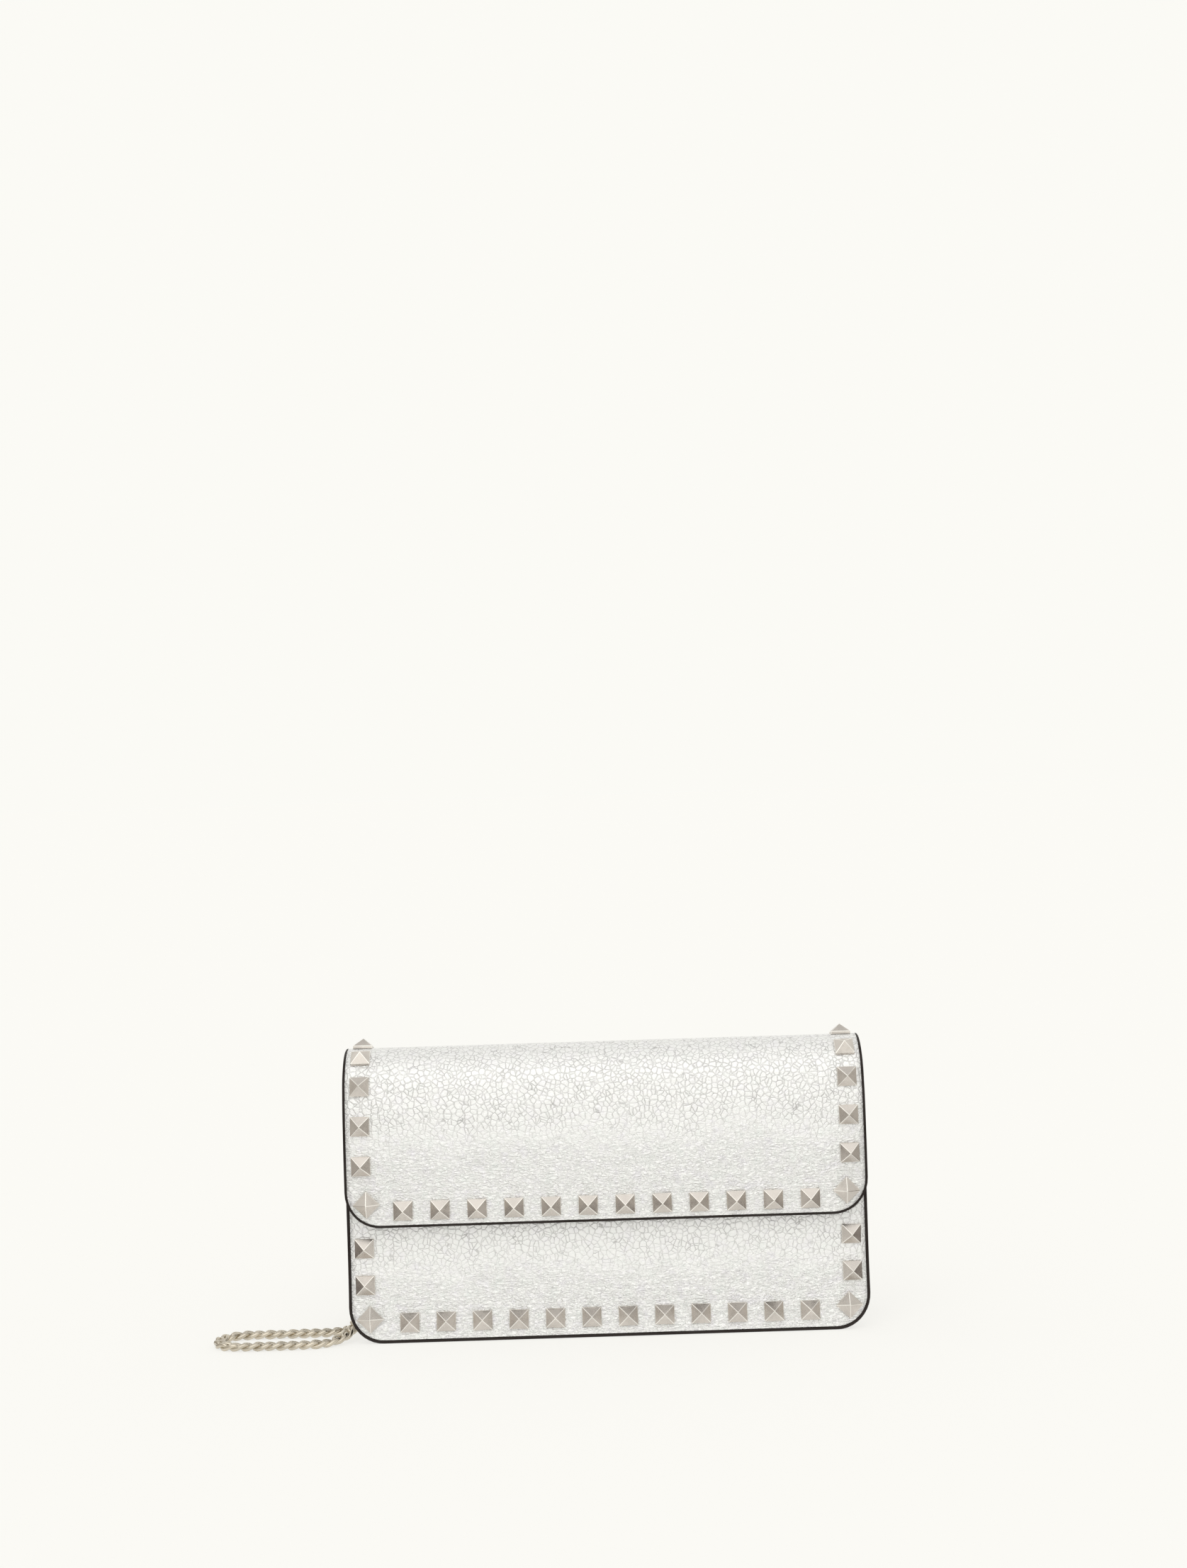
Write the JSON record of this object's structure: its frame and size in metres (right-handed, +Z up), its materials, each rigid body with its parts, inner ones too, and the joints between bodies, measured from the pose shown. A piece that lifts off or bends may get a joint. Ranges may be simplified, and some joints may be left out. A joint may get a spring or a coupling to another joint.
{
  "type": "studded flap wallet on a chain strap",
  "caption": "Flat flap-over wallet in metallic grained leather with pyramid studs along its edges, a zipped middle pocket and a clip-on chain strap.",
  "frame": {"origin": "centre of the wallet's footprint, without the chain strap, on the surface it stands on", "axes": "+Z up, +X along the width to the right as seen from the front, -Y towards the front, where the flap closes"},
  "size_m": [0.2395, 0.0902, 0.1085],
  "materials": {
    "silver_leather": "metallic silver foil over pebbled grain, painted edges",
    "lining": "smooth matt lining leather",
    "nickel": "satin warm nickel plate",
    "chain": "polished pale warm nickel",
    "zip_tape": "woven polyester",
    "tie": "matt"
  },
  "bodies": {
    "case": {"front_panel": "silver_leather", "front_lining": "lining", "panel_stud_left_1": "nickel", "panel_stud_left_2": "nickel", "panel_stud_left_corner": "nickel", "panel_stud_right_1": "nickel", "panel_stud_right_2": "nickel", "panel_stud_right_corner": "nickel", "panel_stud_row": "nickel", "snap_socket": "nickel", "back_panel": "silver_leather", "back_lining": "lining", "gusset": "silver_leather", "zip_pocket_front": "lining", "zip_tape_front": "zip_tape", "zip_pocket_back": "lining", "zip_tape_back": "zip_tape", "zip_teeth_front": "nickel", "zip_teeth_back": "nickel", "zip_stop_left": "nickel", "zip_stop_right": "nickel", "card_panel_1": "lining", "card_panel_2": "lining", "card_panel_3": "lining", "card_panel_4": "lining", "ring_tab_left": "silver_leather", "tab_rivet_left": "nickel", "ring_tab_right": "silver_leather", "tab_rivet_right": "nickel", "chain_left": "chain", "chain_right": "chain", "chain_hank": "chain", "chain_tie": "tie"},
    "flap": {"flap_leather": "silver_leather", "flap_lining": "lining", "snap_stud": "nickel", "flap_stud_left_1": "nickel", "flap_stud_left_2": "nickel", "flap_stud_left_3": "nickel", "flap_stud_left_4": "nickel", "flap_stud_left_5": "nickel", "flap_stud_left_corner": "nickel", "flap_stud_right_1": "nickel", "flap_stud_right_2": "nickel", "flap_stud_right_3": "nickel", "flap_stud_right_4": "nickel", "flap_stud_right_5": "nickel", "flap_stud_right_corner": "nickel", "flap_stud_row": "nickel"},
    "zip_slider": {"zip_slider": "nickel"},
    "zip_pull": {"zip_pull": "nickel"},
    "ring_left": {"d_ring_left": "nickel", "clasp_left": "nickel"},
    "lever_left": {"clasp_lever_left": "nickel"},
    "swivel_left": {"swivel_left": "nickel"},
    "ring_right": {"d_ring_right": "nickel", "clasp_right": "nickel"},
    "lever_right": {"clasp_lever_right": "nickel"},
    "swivel_right": {"swivel_right": "nickel"}
  },
  "joints": [
    {"name": "flap_hinge", "type": "hinge", "parent": "case", "child": "flap", "pos_m": [0, 0.01611, 0.08835], "axis": [-1, 0, 0], "range_deg": [0, 150]},
    {"name": "zip_slide", "type": "slide", "parent": "case", "child": "zip_slider", "axis": [-1, 0, 0], "range_m": [0, 0.15]},
    {"name": "zip_pull_hinge", "type": "hinge", "parent": "zip_slider", "child": "zip_pull", "pos_m": [0.077, 0.00161, 0.085], "axis": [0, 1, 0], "range_deg": [0, 165]},
    {"name": "ring_left_swing", "type": "hinge", "parent": "case", "child": "ring_left", "pos_m": [-0.078, 0.02031, 0.066], "axis": [1, 0, 0], "range_deg": [0, 45]},
    {"name": "lever_left_press", "type": "hinge", "parent": "ring_left", "child": "lever_left", "pos_m": [-0.078, 0.02351, 0.0462], "axis": [1, 0, 0], "range_deg": [0, 18], "stiffness_Nm_per_rad": 0.004, "springref_deg": -20.05},
    {"name": "swivel_left_turn", "type": "hinge", "parent": "ring_left", "child": "swivel_left", "pos_m": [-0.078, 0.02031, 0.0373], "axis": [0, 0, 1], "continuous": true},
    {"name": "ring_right_swing", "type": "hinge", "parent": "case", "child": "ring_right", "pos_m": [0.078, 0.02031, 0.066], "axis": [1, 0, 0], "range_deg": [0, 45]},
    {"name": "lever_right_press", "type": "hinge", "parent": "ring_right", "child": "lever_right", "pos_m": [0.078, 0.02351, 0.0462], "axis": [1, 0, 0], "range_deg": [0, 18], "stiffness_Nm_per_rad": 0.004, "springref_deg": -20.05},
    {"name": "swivel_right_turn", "type": "hinge", "parent": "ring_right", "child": "swivel_right", "pos_m": [0.078, 0.02031, 0.0373], "axis": [0, 0, 1], "continuous": true}
  ]
}
